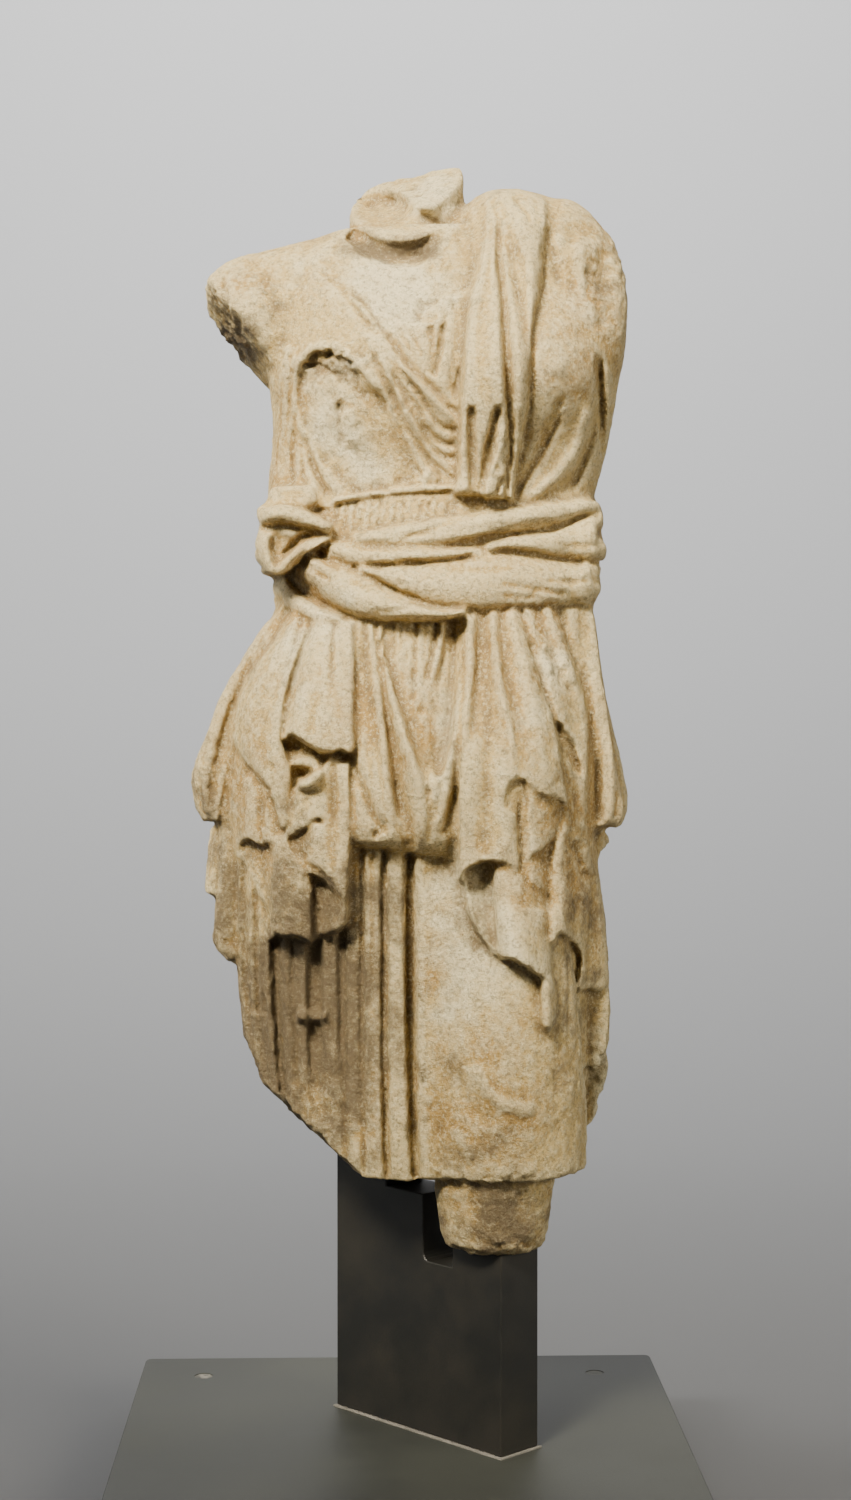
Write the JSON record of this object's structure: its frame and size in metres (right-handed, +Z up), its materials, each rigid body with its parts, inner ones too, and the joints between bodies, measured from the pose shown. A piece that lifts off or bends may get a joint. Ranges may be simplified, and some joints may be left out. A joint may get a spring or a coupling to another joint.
{
  "type": "roman statue",
  "caption": "Headless, armless marble statue of a woman in a short belted tunic with a rolled mantle, held upright by a stepped stone slab set in a low square base.",
  "frame": {"origin": "middle of the base slab's underside", "axes": "+Z up, +X to the right of a viewer who faces the figure, +Y away from that viewer"},
  "size_m": [0.56, 0.56, 1.3146],
  "materials": {
    "weathered_marble": "weathered cream marble with ochre patina and brown stains, no polish left",
    "support_stone": "honed charcoal stone",
    "pale_mortar": "pale fine mortar",
    "base_stone": "honed dark olive-grey stone, slightly scuffed",
    "hole_filler": "matt stone-coloured filler"
  },
  "bodies": {
    "root": {"marble_figure": "weathered_marble", "support_slab": "support_stone", "bedding_mortar": "pale_mortar", "base_slab": "base_stone", "hole_filling_front_left": "hole_filler", "hole_filling_front_right": "hole_filler", "hole_filling_back_left": "hole_filler", "hole_filling_back_right": "hole_filler"}
  },
  "joints": []
}
